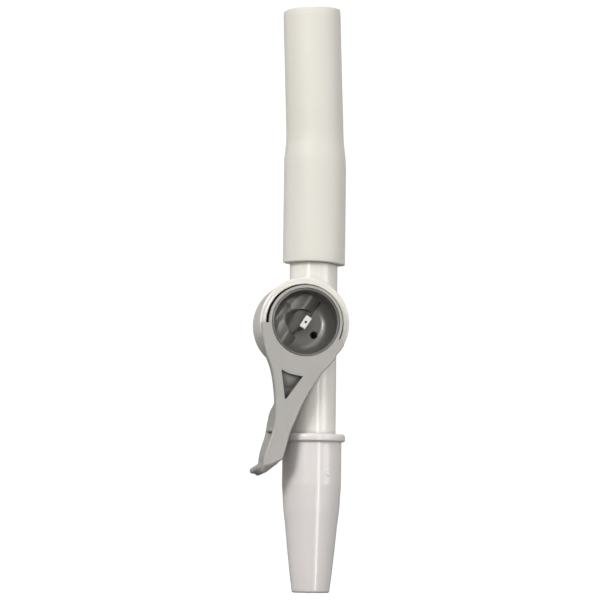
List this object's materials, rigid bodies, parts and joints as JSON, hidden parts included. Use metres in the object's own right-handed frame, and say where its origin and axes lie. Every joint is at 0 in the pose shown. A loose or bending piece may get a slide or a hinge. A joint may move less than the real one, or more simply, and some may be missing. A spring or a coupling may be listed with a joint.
{
  "type": "in-line lever drain valve",
  "caption": "In-line tubing stopcock: a flip lever turns a cup-shaped plug in an offset round chamber between a tapered inlet connector and a soft outlet sleeve.",
  "frame": {"origin": "bottom centre of the bounding box: level with the inlet connector's tip, 2.58 mm left of the tube's axis and 0.43 mm in front of it", "axes": "+Z along the tube from the inlet connector to the outlet sleeve, -Y towards the lever's side, +X to the right of someone facing the lever"},
  "size_m": [0.0162, 0.0118, 0.0972],
  "materials": {
    "body_white": "smooth semi-gloss moulded plastic, warm white",
    "connector_white": "smooth semi-gloss moulded plastic, white with a faint pink cast",
    "lever_grey": "satin moulded plastic, mid warm grey",
    "sleeve_silicone": "matte soft silicone, off-white",
    "seal_rubber": "matte dark seal rubber"
  },
  "bodies": {
    "body": {"valve_body": "body_white", "inlet_port_seal": "seal_rubber", "outlet_port_seal": "seal_rubber", "outlet_sleeve": "sleeve_silicone", "inlet_connector": "connector_white"},
    "lever": {"flip_lever": "lever_grey", "plug_core": "lever_grey", "plug_retaining_pin": "body_white", "front_plug_o_ring": "seal_rubber", "rear_plug_o_ring": "seal_rubber"}
  },
  "joints": [
    {"name": "lever_flip", "type": "hinge", "parent": "body", "child": "lever", "pos_m": [0.00038, 0.00042, 0.0444], "axis": [0, 1, 0], "range_deg": [0, 147]}
  ]
}
